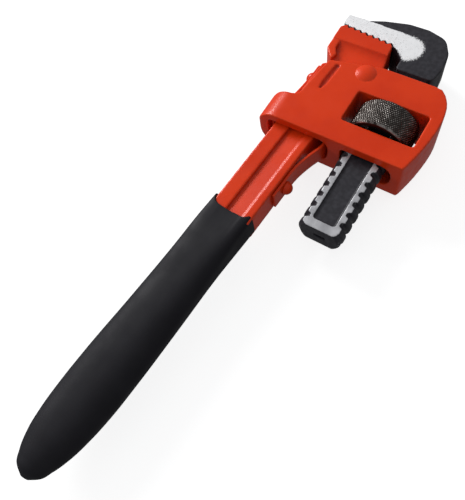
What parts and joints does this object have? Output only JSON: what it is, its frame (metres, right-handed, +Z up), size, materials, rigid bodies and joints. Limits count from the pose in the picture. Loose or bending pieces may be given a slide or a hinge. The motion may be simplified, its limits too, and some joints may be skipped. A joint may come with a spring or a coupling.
{
  "type": "pipe wrench",
  "caption": "Stillson-pattern pipe wrench with a sliding toothed hook jaw, knurled adjusting nut, rocking housing, leaf springs and a dipped grip.",
  "frame": {"origin": "middle of the bottom of the whole tool's bounding box, the tool lying flat on its side", "axes": "+X along the hook jaw's threaded shank from the handle towards the jaws, +Y across the tool from the shank towards the handle bar, +Z up through the thickness"},
  "size_m": [0.2928, 0.0914, 0.0336],
  "materials": {
    "orange_paint": "glossy orange enamel over cast and forged iron",
    "black_dip": "smooth satin black dipped vinyl",
    "forged_steel": "black oxide forging with ground bright flats and teeth",
    "knurled_steel": "dark diamond-knurled steel"
  },
  "bodies": {
    "handle": {"handle_bar": "orange_paint", "grip_sleeve": "black_dip", "front_spring": "orange_paint", "rear_spring": "orange_paint", "front_spring_rivet": "orange_paint", "rear_spring_rivet": "orange_paint"},
    "housing": {"frame_housing": "orange_paint", "pivot_pin": "orange_paint"},
    "hook_jaw": {"hook_jaw": "forged_steel"},
    "adjusting_nut": {"adjusting_nut": "knurled_steel"}
  },
  "joints": [
    {"name": "housing_rock", "type": "hinge", "parent": "handle", "child": "housing", "pos_m": [0.10247, 0.00065, 0.0168], "axis": [0, 0, 1], "range_deg": [-2, 0.8], "stiffness_Nm_per_rad": 25, "deforming": ["front_spring", "rear_spring"]},
    {"name": "hook_jaw_slide", "type": "slide", "parent": "housing", "child": "hook_jaw", "axis": [1, 0, 0], "range_m": [0, 0.055]},
    {"name": "nut_spin", "type": "hinge", "parent": "housing", "child": "adjusting_nut", "pos_m": [0.08087, -0.02035, 0.0168], "axis": [1, 0, 0], "range_deg": [-3143, 0]}
  ],
  "couplings": [
    {"joint": "nut_spin", "follows": "hook_jaw_slide", "rad_per_m": -997.33}
  ]
}
